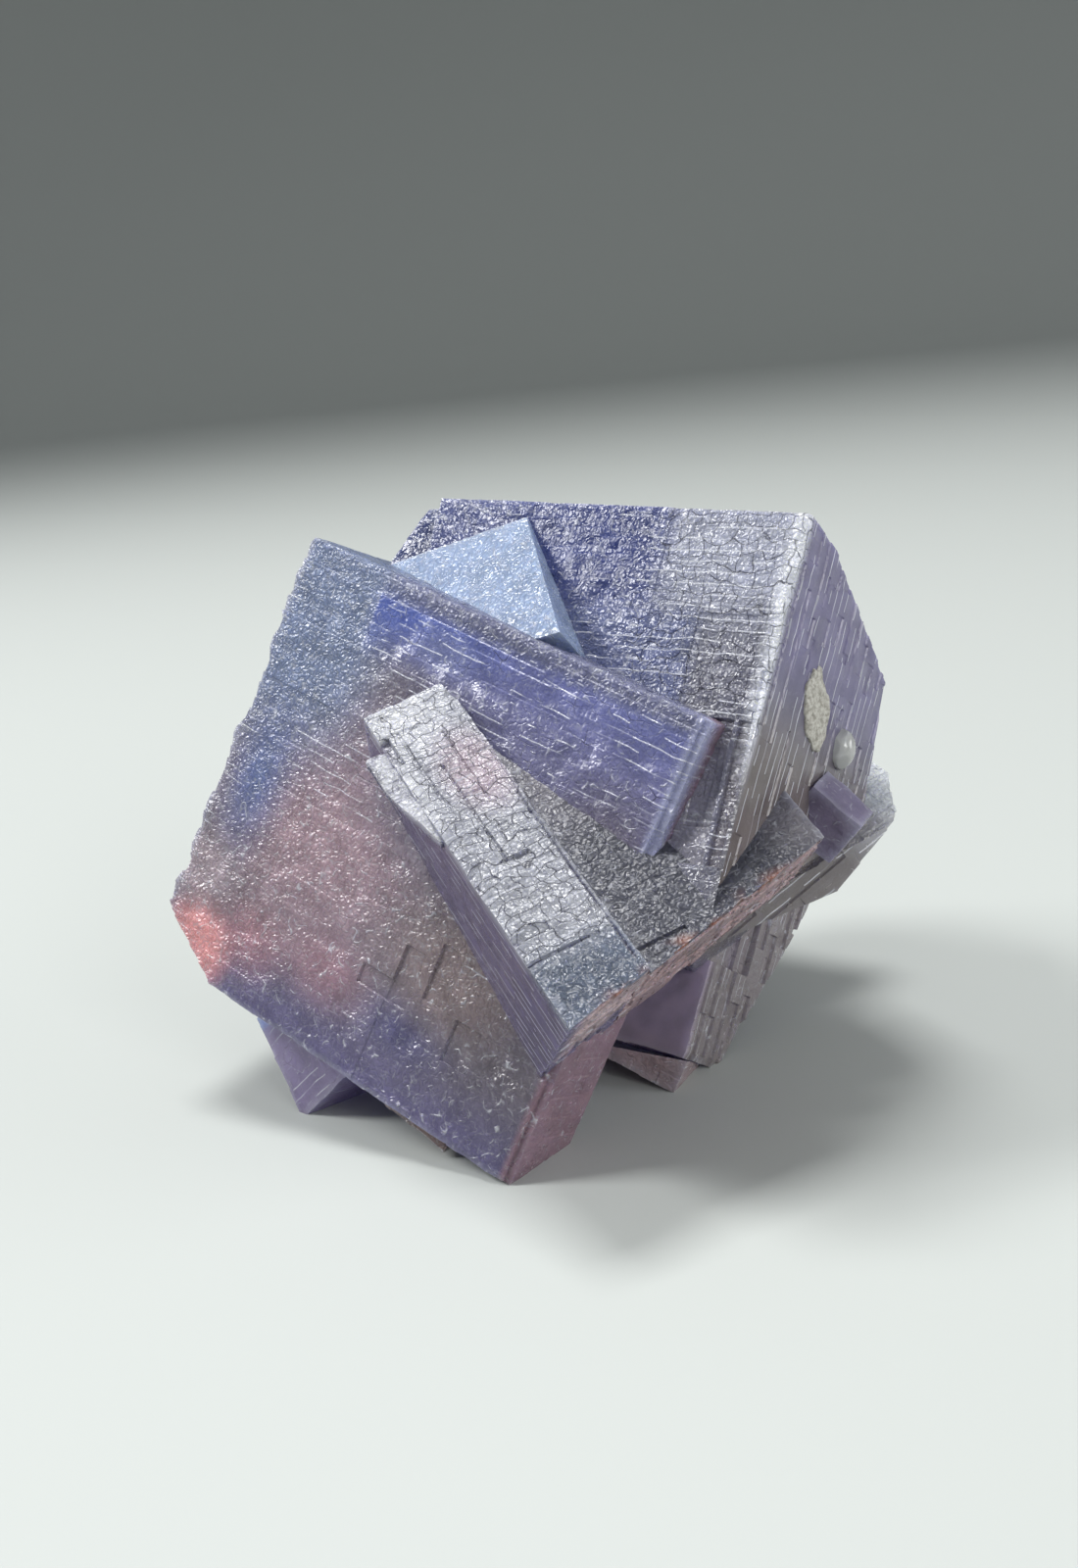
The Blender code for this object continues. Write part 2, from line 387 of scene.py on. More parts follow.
@dataclass
class Crystal:
    """One cube of the group: own X right, own Y back, own Z up from `place`."""

    name: str
    place: Vec
    turn: Vec
    size: Vec
    pitch: Vec = (0.85, 0.85, 0.85)
    sides: dict[Side, Relief] = field(default_factory=dict)
    plain: Relief = Relief()
    cuts: tuple[Cut, ...] = ()
    colour: Colour = (0.10, 0.11, 0.26)
    zones: Zones = ()
    etchings: Zones = ()  # their "colours" are pebbles, plates, roughness
    stains: Zones = ()
    rim: float = 0.35  # how pale the edges are: partly wear, partly a painted highlight
    seed: int = 1

    @property
    def to_group(self) -> Matrix:
        """Return the matrix from own axes in mm to the group's frame in metres."""
        turn = Euler([math.radians(angle) for angle in self.turn], "XYZ")
        return Matrix.LocRotScale(Vector(self.place) * MM, turn, Vector((MM, MM, MM)))

    def relief(self, side: Side) -> Relief:
        """Return one side's relief."""
        return self.sides.get(side, self.plain)

    def named_lines(self, axis: int) -> tuple[float, ...]:
        """Return the places along an axis where a growth layer starts or ends.

        Args:
            axis: which of the crystal's own axes.

        Returns:
            The places, mm.
        """
        return tuple(end[others(side.value[0]).index(axis)]
                     for side, relief in self.sides.items() if side.value[0] != axis
                     for layer in relief.layers for end in (layer.low, layer.high))

    def build(self) -> Piece:
        """Return the carved and cut crystal, in its place in the group.

        Returns:
            The crystal's object, its place in its mesh.
        """
        lines = [growth_lines(self.size[axis], self.pitch[axis], self.named_lines(axis),
                              self.seed * 10 + axis) for axis in range(3)]
        piece, index, own, cell = sliced_block(self.name, lines)
        mesh = piece.data
        for number in range(len(Side) + len(self.cuts)):
            mesh.materials.append(bpy.data.materials.new(f"{self.name}:{number}"))
        corners = read(mesh.loops, "vertex_index")
        marks = np.zeros(len(mesh.polygons), np.int32)
        shift = np.zeros_like(own)
        for number, side in enumerate(Side):
            axis, far = side.value
            end = len(lines[axis]) - 1 if far else 0
            on_side = index[:, axis] == end
            across = others(axis)
            span = (self.size[across[0]], self.size[across[1]])
            depth = self.relief(side).carve(own[on_side][:, across], cell[on_side][:, across],
                                            span, self.seed * 100 + number * 10)
            shift[on_side, axis] += -depth if far else depth
            marks[on_side[corners].reshape(-1, 4).all(axis=1)] = number
        write_points(mesh, own + shift)
        mesh.polygons.foreach_set("material_index", marks)
        for number, cut in enumerate(self.cuts):
            cut_crystal(piece, cut, self, len(Side) + number)
        mesh.transform(self.to_group)
        return piece

    def paint(self, own: Array, mark: int) -> tuple[Array, Array, Array]:
        """Return what the finish reads at points of one side or cut.

        Args:
            own: the points' x, y, z in own axes, mm.
            mark: the side's number, or the cut's number after the sides.

        Returns:
            Their places across, up and into the side, shifted so that no two cubes share a
            pattern; their colour, with painted sheen and edge highlights; and their pebbles,
            plates, roughness and iron stain.
        """
        skins = [(self.relief(side), side.value[0], ON_SIDE) for side in Side]
        skins += [(cut.relief or CLEAVED, int(np.abs(cut.normal).argmax()), 1) for cut in self.cuts]
        relief, into, stained = skins[mark]
        across, up = others(into)
        grain = own[:, (across, up, into)]
        if relief.turned:
            grain = own[:, (up, across, into)] * (1, -1, 1)
        tint = blend_zones(own, self.colour, self.zones)
        # pale strip along the edges: partly wear, partly a painted highlight
        away = np.minimum(np.abs(own), np.abs(np.array(self.size) - own))
        rim = np.exp(-((np.sort(away, axis=1)[:, 1] / RIM) ** 2))[:, None] * self.rim
        tint = tint * (1 - rim) + np.array(RIM_WEAR_AND_HIGHLIGHT) * rim
        etch = blend_zones(own, (relief.pebbles, relief.plates, relief.rough), self.etchings)
        stain = np.max([np.zeros(len(own)), *(zone.share(own) for zone in self.stains)], axis=0)
        return grain + self.seed * GRAIN_APART, tint, np.column_stack([etch, stain * stained])


def sliced_block(name: str, lines: list[Array]) -> tuple[Piece, Array, Array, Array]:
    """Model a unit cube with lines round it, and find where they belong in a crystal.

    Args:
        name: the block's name.
        lines: where the lines cross each axis, its two ends included, mm.

    Returns:
        The block, and rows of three for its points: the numbers of the lines they lie on,
        their places, and the middles of the layer patches they belong to.
    """
    deselect_all()
    bpy.ops.mesh.primitive_cube_add(size=1.0, location=(0.5, 0.5, 0.5))
    block = bpy.context.object
    block.name = name
    block.data.name = name
    bpy.ops.object.transform_apply(location=True, rotation=False, scale=False)
    bpy.ops.object.mode_set(mode="EDIT")
    bpy.ops.mesh.select_mode(type="EDGE")
    for axis, places in enumerate(lines):
        shape = bmesh.from_edit_mesh(block.data)
        for edge in shape.edges:
            edge.select_set(abs((edge.verts[0].co - edge.verts[1].co)[axis]) > 0.5)
        bmesh.update_edit_mesh(block.data)
        bpy.ops.mesh.subdivide(number_cuts=min(len(places) - 2, MOST_CUTS))
    bpy.ops.object.mode_set(mode="OBJECT")
    points = read_points(block.data) * [len(places) - 1 for places in lines]
    index = np.rint(points).astype(int)
    own = np.stack([places[row] for places, row in zip(lines, index.T)], axis=1)
    cell = np.stack([(places[0::2] + places[1::2])[row // 2] / 2
                     for places, row in zip(lines, index.T)], axis=1)
    return block, index, own, cell


def cut_crystal(piece: Piece, cut: Cut, crystal: Crystal, mark: int) -> None:
    """End a crystal at a plane, flat or with a relief of its own.

    Args:
        piece: the crystal's object, its mesh still in own axes.
        cut: the plane.
        crystal: whose plane it is.
        mark: number of the material that marks the cut's faces.
    """
    normal = Vector(cut.normal).normalized()
    if cut.relief is None:
        make_active(piece)
        bpy.ops.object.mode_set(mode="EDIT")
        bpy.ops.mesh.select_all(action="SELECT")
        bpy.ops.mesh.bisect(plane_co=normal * cut.reach, plane_no=normal, use_fill=True,
                            clear_outer=True)
        bpy.ops.object.mode_set(mode="OBJECT")
        for face in piece.data.polygons:
            if face.normal.dot(normal) > FLAT and face.center.dot(normal) > cut.reach - TOUCH:
                face.material_index = mark
        return
    middle = Vector(crystal.size) / 2
    wide = Vector(crystal.size).length + SPARE
    along = Vector((1, 0, 0)) if abs(normal.x) < STEEP else Vector((0, 0, 1))
    side = (along - normal * along.dot(normal)).normalized()
    axes = Matrix((side, normal.cross(side), normal)).transposed().to_4x4()
    foot = middle + normal * (cut.reach - middle.dot(normal))
    lines = growth_lines(wide, max(cut.pitch, 2 * wide / MOST_CUTS), (), crystal.seed * 7)
    slab, index, own, cell = sliced_block("slab", [lines, lines, np.array([0.0, wide])])
    near = index[:, 2] == 0
    own[near, 2] -= cut.relief.carve(own[near][:, :2], cell[near][:, :2], (wide, wide),
                                     crystal.seed * 77)
    write_points(slab.data, own)
    centred = Matrix.Translation((-wide / 2, -wide / 2, 0))
    slab.data.transform(Matrix.Translation(foot) @ axes @ centred)
    slab.data.materials.append(piece.data.materials[mark])
    combine(piece, slab, "DIFFERENCE")


def combine(target: Piece, tool: Piece, operation: str) -> None:
    """Join or cut a piece with a tool, which is used up.

    Args:
        target: the piece.
        tool: what is added to it or taken from it.
        operation: "UNION" or "DIFFERENCE".
    """
    make_active(target)
    joint = target.modifiers.new("joint", "BOOLEAN")
    joint.operation = operation
    joint.solver = "MANIFOLD"
    joint.material_mode = "TRANSFER"
    joint.object = tool
    bpy.ops.object.modifier_apply(modifier=joint.name)
    mesh = tool.data
    bpy.data.objects.remove(tool, do_unlink=True)
    bpy.data.meshes.remove(mesh)


def drop_crumbs(piece: Piece) -> None:
    """Take off the stray slivers that a union can leave: loose flaps and tiny islands.

    Args:
        piece: the piece, its mesh all triangles.
    """
    shape = bmesh.new()
    shape.from_mesh(piece.data)
    flaps = {face for edge in shape.edges if len(edge.link_faces) == 1 for face in edge.link_faces}
    bmesh.ops.delete(shape, geom=list(flaps), context="FACES")
    left = set(shape.verts)
    while left:
        island, front = set(), [left.pop()]
        while front:
            point = front.pop()
            island.add(point)
            near = {edge.other_vert(point) for edge in point.link_edges} & left
            left -= near
            front.extend(near)
        if len(island) < CRUMB:
            bmesh.ops.delete(shape, geom=list(island), context="VERTS")
    open_edges = sum(not edge.is_manifold for edge in shape.edges)
    LOG.info("%s: %d open edges", piece.name, open_edges)
    shape.to_mesh(piece.data)
    shape.free()


# ---- the crystals
SALMON: Colour = (0.60, 0.25, 0.26)
# pale blue of the pearly corner, partly a painted sheen
PALE_BLUE: Colour = (0.30, 0.385, 0.555)
BACK_TURN: Vec = (-30.8, 1.8, -38.2)
RIDGE_TURN: Vec = (-56.8, -12.4, 21.1)
FINE = Relief(
    steps=(Steps(1, 1.8, 0.06), Steps(0, 3, 0.05, False, gaps=0.5)), swell=0.12, crinkle=0.03,
    wear=0.08)
ROUGH = Relief(
    steps=(Steps(1, 1.4, 0.14), Steps(0, 1.8, 0.12, False)), swell=0.25, crinkle=0.1, wear=0.15,
    chips=0.3, pebbles=0.9, plates=0.6, rough=0.32)
SMOOTH = Relief(
    steps=(Steps(1, 5, 0.03, gaps=0.6),), swell=0.05, crinkle=0, wear=0.06, pebbles=0.08,
    plates=0.12, rough=0.2)
CLEAVED = Relief(pebbles=0.4, plates=0.42, rough=0.24)
LIGHTLY_ETCHED = Relief(
    steps=(Steps(1, 3, 0.05, gaps=0.4),), swell=0.12, crinkle=0.02, wear=0.12, chips=0.12,
    pebbles=0.28, plates=0.4, rough=0.2)

BIG_FACE = Crystal(
    "big_face", place=(-33.6, 3.4, 14), turn=(-21.7, 20, -39), size=(40.9, 22, 38.4),
    pitch=(0.9, 1.3, 0.85), seed=1, plain=FINE,
    sides={
        Side.FRONT: Relief(
            steps=(
                Steps(1, 2.6, 0.05, True, 2, (9, 6), 0.45, 3.5),
                Steps(0, 6, 0.05, False, 1.5, (5, 9), 0.6, 2)),
            swell=0.12, crinkle=0.02, wear=0.1, chips=0.22, pebbles=0.7, plates=0.26, rough=0.29,
            layers=(
                Layer((0, 36.2), (26.5, 38.4), 0.1), Layer((26.5, 37.1), (40.9, 38.4), 0.1),
                Layer((0, 31.5), (9.4, 38.4), 0.08), Layer((21.4, 33.5), (33.8, 38.4), 0.06),
                Layer((9.4, 31.5), (21.4, 38.4), 0.05), Layer((0, 0), (9.8, 26), 0.08),
                Layer((40.1, 0), (40.9, 38.4), 0.22), Layer((24.5, 0), (40.9, 9.1), 0.06),
                Layer((24.5, 7.4), (26.5, 12.2), 0.2), Layer((27.6, 9.1), (29.8, 13.8), 0.2),
                Layer((21.4, 7.4), (24.5, 9.1), 0.14), Layer((31.2, 5.6), (33.8, 9.1), 0.16))),
        Side.LEFT: Relief(
            steps=(Steps(1, 1.2, 0.22), Steps(0, 1.3, 0.2, False)), swell=0.3, crinkle=0.12,
            wear=0.2, chips=0.9, reach=0.9, pebbles=1, plates=0.5, rough=0.3),
        Side.TOP: Relief(
            steps=(Steps(1, 1.4, 0.12), Steps(0, 3.5, 0.06, False)), swell=0.15, crinkle=0.03,
            wear=0.1, chips=0.3)},
    cuts=(
        Cut((-0.49, 0.12, -0.87), -3.7, ROUGH), Cut((-0.9, 0, 0.43), 16.2, ROUGH),
        Cut((0.74, 0.67, 0), 35.4, SMOOTH)),
    colour=(0.18, 0.16, 0.19),
    zones=(
        Cloud((13, 0, 17), (16, 16, 14), (0.41, 0.28, 0.32), 0.85),
        Cloud((24, 0, 24), (14, 16, 9), (0.27, 0.265, 0.34), 0.8),
        Band(((X, 11, -7), (Z, 22, 12)), (0.205, 0.26, 0.41), 0.9),
        Cloud((4.6, 0, 18), (5, 14, 10), (0.12, 0.18, 0.39), 0.85, 1),
        Band(((X, 9.4, 0.3), (Z, 33, 6), (Z, 36.3, -0.3)), (0.1, 0.14, 0.42), 0.97),
        Band(((X, 20, 12), (Z, 27, 7), (Z, 36.3, -0.3)), (0.17, 0.175, 0.34), 0.75),
        Band(((X, 9.4, 2), (Z, 36.3, 0.5)), (0.13, 0.15, 0.28), 0.7),
        Band(((Z, 4, -8),), (0.13, 0.12, 0.24), 0.85),
        Cloud((27, 0, 6), (7, 9, 3.8), (0.1, 0.105, 0.26), 0.6, 1),
        Cloud((2.6, 0, 8.4), (5, 14, 5), (0.45, 0.36, 0.4), 0.8),
        Cloud((9.8, 0, 5.4), (6, 9, 4.6), (0.5, 0.25, 0.29), 0.65, 1),
        Cloud((18.2, 0, 6.7), (7, 9, 4.4), (0.46, 0.25, 0.3), 0.55, 1),
        # partly a pink zone, partly painted light shining through the lower left corner from behind
        Cloud((4.6, 0, 2.4), (5.4, 8, 4.8), (0.7, 0.32, 0.32), 0.95, 0.6),
        Cloud((29, 0, 12), (10, 12, 7), (0.32, 0.25, 0.25), 0.8),
        Cloud((36.5, 0, 25.5), (7, 5, 7.5), (0.13, 0.115, 0.145), 0.8),
        Cloud((17, 0, 34.2), (5, 5, 2.6), (0.22, 0.24, 0.41), 0.6),
        Band(((X, 39.8, 0.5),), (0.27, 0.17, 0.21), 0.9),
        Band(((X, 39.8, 0.5), (Y, 1.2, -1), (Z, 14, 6)), (0.34, 0.37, 0.54), 0.9),
        # painted highlight: a pale silver strip down the left edge
        Band(((X, 0.9, -1.2), (Z, 6, 6)), (0.46, 0.47, 0.54), 0.75)),
    etchings=(
        Band(((X, 9.4, -2), (Z, 20, 8)), (1, 0.22, 0.31), 0.9),
        Band(((X, 9.4, 0.4), (Z, 31.5, 3), (Z, 36.3, -0.4)), (0.32, 0.5, 0.26), 1),
        Band(((X, 12, 4), (Z, 18, 4), (Z, 31.5, -1)), (0.4, 0.5, 0.28), 0.9),
        Band(((X, 11, 4), (Z, 12, -5)), (0.48, 0.2, 0.23), 0.9),
        Band(((X, 2.2, -2),), (1, 0.5, 0.3), 0.9),
        Cloud((34, 0, 18), (9, 5, 9), (0.55, 0.85, 0.28), 0.9),
        Cloud((10, 0, 22), (5, 5, 4), (0.55, 0.75, 0.28), 0.8)))
BACK_CUBE = Crystal(
    "back_cube", place=(-15.8, -1.8, 19.4), turn=BACK_TURN, size=(36, 24, 34.4),
    pitch=(0.75, 0.55, 0.75), seed=2, plain=FINE,
    sides={
        Side.FRONT: Relief(
            steps=(
                Steps(1, 1.4, 0.08, True, 1.5, (3, 3), 0.35, 2),
                Steps(0, 1.8, 0.07, False, 1.5, (3, 3), 0.45, 1.6)),
            swell=0.1, crinkle=0.04, wear=0.12, chips=0.1, pebbles=0.6, plates=0.42, rough=0.24,
            layers=(
                Layer((24, 26.5), (36, 34.4), 0.08), Layer((28.5, 0), (36, 25.1), 0.12),
                Layer((0, 25.1), (28.5, 34.4), 0.08), Layer((28.6, 6.2), (33.5, 17.1), 0.45),
                Layer((31, 9), (32.6, 15), 0.14), Layer((33.9, 6.2), (34.8, 17.1), 0.3),
                Layer((34.8, 6), (36, 21), 0.25))),
        Side.RIGHT: Relief(
            steps=(Steps(0, 1.6, 0.13, False, 0.9, (4, 12), 0.45, 2.4),), tilt=(1.2, 0, -0.04),
            swell=0.12, crinkle=0.01, wear=0.15, chips=0.35, reach=0.8, pebbles=0.12, plates=0.58,
            rough=0.22, turned=True)},
    cuts=(
        Cut((0.03, 0.17, 0.99), 33.8), Cut((0.03, 0.43, 0.9), 32.8, ROUGH),
        Cut((0.07, 0.98, 0.18), 25.3), Cut((-0.94, 0, 0.34), 13.2, ROUGH),
        Cut((0.71, 0.36, -0.6), 24), Cut((-0.77, 0, -0.64), -15)),
    colour=(0.15, 0.15, 0.19),
    zones=(
        Band(((X, 26, -6), (Z, 24, 6)), (0.07, 0.088, 0.23), 0.9),
        Cloud((16, 0, 30), (10, 10, 6), (0.025, 0.04, 0.17), 0.9),
        # painted sheen: pale silver over the upper right of the front
        Band(((X, 24.4, 4), (Y, 3, -4), (Z, 25, 9)), (0.4, 0.42, 0.52), 0.9),
        Band(
            (
                (X, 14, 4), (X, 28.5, -1.8), (Y, 4, -4), (Z, 12, 5),
                (Z, 25.1, -2.5)),
            (0.12, 0.145, 0.29), 0.8),
        Band(((X, 28, 1), (Y, 0.6, 0.8), (Z, 19, 9)), (0.165, 0.15, 0.265), 0.95),
        Band(((X, 28, 1), (Y, 0.6, 0.8), (Z, 18, -9)), (0.15, 0.125, 0.115), 0.95),
        # painted highlight: a pale strip along the front's right edge
        Band(((X, 34.7, 0.5), (Y, 0.7, -0.5), (Z, 14, 6)), (0.78, 0.8, 0.86), 0.95),
        Band(
            (
                (X, 28.6, 0.1), (X, 33.5, -0.1), (Y, 3, -1), (Z, 6.2, 0.1),
                (Z, 17.1, -0.1)),
            (0.27, 0.265, 0.31), 0.9)),
    etchings=(
        Band(((X, 23.5, 5), (Y, 1, -1), (Z, 17, 8)), (0.65, 1.05, 0.27), 1),
        Band(
            ((X, 28, 1), (Y, 1.4, 0.8), (Y, 11, -3), (Z, 19, -5)), (0.1, 0.9, 0.2),
            0.9),
        Cloud((15, 0, 29), (11, 5, 7), (0.3, 0.2, 0.32), 0.9)))
BACK_END = Crystal(
    "back_end", place=(-11.95, 8.37, 36.61), turn=BACK_TURN, size=(9, 12, 13.4),
    pitch=(0.9, 1.5, 0.9), seed=14, plain=FINE, colour=(0.04, 0.055, 0.15),
    cuts=(Cut((-0.88, 0, 0.47), 4.05, ROUGH),))
SLANTING_RIDGE = Crystal(
    "slanting_ridge", place=(7.2, -40.1, 10.1), turn=RIDGE_TURN, size=(7.4, 20, 45.3),
    pitch=(0.55, 1.2, 0.65), seed=3, plain=FINE,
    sides={
        Side.FRONT: Relief(
            steps=(
                Steps(1, 2.2, 0.1, False, 1.6, (1.6, 3), 0.35, 1.2),
                Steps(0, 1.6, 0.1, True, 1.2, (2, 4), 0.35, 2.4)),
            swell=0.06, crinkle=0.05, wear=0.12, chips=0.3, pebbles=0.6, plates=1.05, rough=0.27,
            layers=(
                Layer((3, 27.1), (3.25, 37.4), 0.25), Layer((2.6, 26.9), (5, 27.2), 0.25),
                Layer((1.5, 34), (1.75, 42.2), 0.2), Layer((6.7, 15), (6.95, 33), 0.3),
                Layer((4.6, 33), (4.8, 40.5), 0.15), Layer((1.75, 37.4), (3, 37.6), 0.15),
                Layer((0, 18.1), (5, 18.4), 0.25), Layer((0, 20.2), (2.9, 20.5), 0.2),
                Layer((0, 39), (0.8, 42), 0.4))),
        Side.LEFT: replace(SMOOTH, plates=0.6, turned=True)},
    # painted sheen: the front alone keeps this silver-grey colour
    cuts=(Cut((0.19, 0.33, -0.92), -11.1, ROUGH),), colour=(0.32, 0.33, 0.37),
    zones=(
        # painted sheen, paler near the top of the front
        Cloud((2.5, 0, 43.5), (6, 3, 5.5), (0.6, 0.61, 0.64), 0.8),
        Cloud((5.2, 0, 36), (4, 5, 6), (0.47, 0.37, 0.42), 0.8),
        # painted highlight along the front's left edge
        Cloud((0, 0, 37), (1.3, 0.7, 9), (0.8, 0.81, 0.84), 0.9),
        Band(((Z, 18.3, -4),), (0.085, 0.11, 0.16), 0.9),
        Band(((Y, 0.7, 0.6),), (0.135, 0.115, 0.2), 1),
        Band(((X, 0.8, 0.5), (Y, 0.7, 0.6), (Z, 17, -0.8)), (0.5, 0.38, 0.39), 0.95)),
    etchings=(Band(((Y, 0.5, -0.4), (Z, 18.2, -0.5)), (1, 0.15, 0.28), 1),),
    stains=(Cloud((6.5, 0.8, 13.2), (5, 3, 1.1), SALMON),))
RIDGE_SHELF = Crystal(
    "ridge_shelf", place=(9.7, -29.3, 16.2), turn=RIDGE_TURN, size=(17.3, 14, 36),
    pitch=(0.75, 1.2, 0.75), seed=4, plain=FINE,
    sides={
        Side.FRONT: Relief(
            steps=(Steps(1, 2, 0.07, False), Steps(0, 2.5, 0.06)), swell=0.12, crinkle=0.06,
            wear=0.12, chips=0.15, pebbles=0.7, plates=0.3, rough=0.36,
            layers=(Layer((0.3, 5.9), (4.2, 6.2), 0.2),))},
    cuts=(Cut((0.19, 0.33, -0.92), -3.5, ROUGH),), colour=(0.055, 0.058, 0.075),
    zones=(
        Band(((Z, 19, 8),), (0.21, 0.2, 0.23), 0.8),
        Cloud((17.5, 0, 10), (6, 4, 5), (0.19, 0.18, 0.2), 0.9),
        Band(((Y, 0.9, 0.8),), (0.43, 0.29, 0.29), 0.9)),
    stains=(Cloud((5.5, 0.5, 4.9), (6, 3, 1), SALMON), Cloud((12.5, 0.5, 6.3), (6, 3, 1), SALMON)))
RIDGE_BRICKS = Crystal(
    "ridge_bricks", place=(-7.1, -17.61, 26.03), turn=RIDGE_TURN, size=(2.4, 1.5, 10.6),
    # its pale colour, which only the front keeps, is painted sheen
    pitch=(0.4, 0.5, 0.5), seed=15, plain=ROUGH, colour=(0.62, 0.63, 0.68),
    cuts=(Cut((-0.977, 0, -0.214), -1.56),),
    zones=(Band(((Y, 0.5, 0.4),), (0.12, 0.11, 0.2), 1),))
PEARLY_CORNER = Crystal(
    "pearly_corner", place=(-14.4, 2.1, 33.9), turn=(-47.7, -14, -28.6), size=(30, 9, 14),
    pitch=(0.75, 1.5, 0.75), seed=5, plain=FINE,
    sides={
        Side.FRONT: Relief(
            steps=(Steps(0, 2.5, 0.05, True, 1, (4, 4), 0.6, 2),), swell=0.05, crinkle=0.02,
            pebbles=0.75, plates=0.3, rough=0.2)},
    cuts=(
        Cut(
            (0.04, -0.89, -0.46), 1.2,
            Relief(
                steps=(Steps(0, 3, 0.06, True, 1, (4, 4), 0.5, 2.5),), swell=0.06, crinkle=0.03,
                wear=0, pebbles=0.6, plates=0.42, rough=0.22)),
        Cut((0.93, 0, 0.35), 20.8), Cut((-0.79, 0, 0.62), 6.1)),
    colour=PALE_BLUE)
LOWER_RIGHT = Crystal(
    "lower_right", place=(-7.1, 8.3, 4.1), turn=(-32.6, 4, -39.1), size=(24, 17, 30),
    pitch=(1.1, 0.8, 0.9), seed=6, plain=FINE,
    sides={
        Side.FRONT: SMOOTH,
        Side.RIGHT: Relief(
            steps=(Steps(0, 1.7, 0.3, False, 0.6, (3, 9), 0.3, 4),), swell=0.15, crinkle=0.04,
            wear=0.15, chips=0.2, pebbles=0.4, plates=0.5, turned=True,
            layers=(Layer((0, 8.6), (6.5, 16), 0.6),))},
    cuts=(Cut((0.17, 0.87, -0.46), 9.3, ROUGH),), colour=(0.19, 0.165, 0.24),
    zones=(
        Band(((Y, 1.2, -0.8),), (0.38, 0.31, 0.4), 1),
        Band(((X, 23, 1), (Y, 0.4, 0.6)), (0.25, 0.225, 0.22), 0.9)))
STRIPED_WING = Crystal(
    "striped_wing", place=(17.1, -10.2, -1.3), turn=(-0.4, -30.1, 15.9), size=(26, 15, 26),
    pitch=(0.9, 0.9, 0.6), seed=7, plain=FINE,
    sides={
        Side.FRONT: Relief(
            steps=(Steps(1, 1.2, 0.22, True, 0.6, (9, 3), 0.3, 3),), swell=0.1, crinkle=0.03,
            pebbles=0.12, plates=0.8)},
    cuts=(
        Cut((-0.31, 0, -0.95), -15.5), Cut((0.35, 0, -0.94), -3.9),
        Cut((0.18, -0.3, 0.94), 16.3, ROUGH), Cut((0.21, 0, -0.98), -7.7),
        Cut((0.91, -0.08, 0.42), 30.1, ROUGH)),
    colour=(0.46, 0.44, 0.44),
    zones=(
        Band(((Y, 0.5, -0.6),), (0.16, 0.145, 0.14), 0.9),
        Cloud((21, 0, 13.6), (4, 1.5, 3.5), (0.42, 0.42, 0.44), 0.85),
        Cloud((26, 5, 14), (6, 9, 5), (0.88, 0.93, 0.98), 0.95, 0.5)))
LOWER_LEFT = Crystal(
    "lower_left", place=(-16.1, -7.4, 4.5), turn=(-41.1, 11, 46.8), size=(9, 8, 10),
    pitch=(0.9, 0.9, 0.9), seed=8, plain=LIGHTLY_ETCHED, colour=(0.235, 0.195, 0.34),
    zones=(Band(((Z, 8.6, 0.6),), (0.3, 0.38, 0.7), 0.9),))
FOOT_SLIVER = Crystal(
    "foot_sliver", place=(-17.1, 8, 12.9), turn=(-22.4, 22.6, -29.6), size=(34, 15, 10),
    pitch=(1.4, 1.4, 1), seed=9, plain=FINE, colour=(0.36, 0.27, 0.29),
    cuts=(Cut((-0.28, 0.11, 0.95), -6.6),))
VIOLET_CUBELET = Crystal(
    "violet_cubelet", place=(22.5, -11.3, 26.2), turn=(-77.8, 41.6, -26.2), size=(5.1, 5, 3.2),
    pitch=(0.8, 0.8, 0.8), seed=10, plain=LIGHTLY_ETCHED, colour=(0.215, 0.19, 0.285))
ROUGH_CRUMBS = Crystal(
    "rough_crumbs", place=(-13.7, -11.9, 3.8), turn=(-3.6, 31.4, -33.1), size=(7, 8, 3.6),
    pitch=(0.5, 0.6, 0.5), seed=11, plain=ROUGH, colour=(0.26, 0.16, 0.15),
    cuts=(Cut((0.09, -0.51, -0.85), 1.3),))
REAR_TWIN = Crystal(
    "rear_twin", place=(-9, 0.9, 27.1), turn=(-52.4, -9.1, 39.5), size=(13, 13, 13),
    pitch=(0.9, 0.9, 0.9), seed=12, plain=FINE)
REAR_CUBELET = Crystal(
    "rear_cubelet", place=(1.2, 18, 23.4), turn=(-10.6, 16.6, -37.5), size=(11, 11, 11),
    pitch=(0.9, 0.9, 0.9), seed=13, plain=FINE)

GROUP = (BIG_FACE, BACK_CUBE, SLANTING_RIDGE, RIDGE_SHELF, PEARLY_CORNER, LOWER_RIGHT,
         STRIPED_WING, LOWER_LEFT, FOOT_SLIVER, VIOLET_CUBELET, ROUGH_CRUMBS, REAR_TWIN,
         REAR_CUBELET, BACK_END, RIDGE_BRICKS)


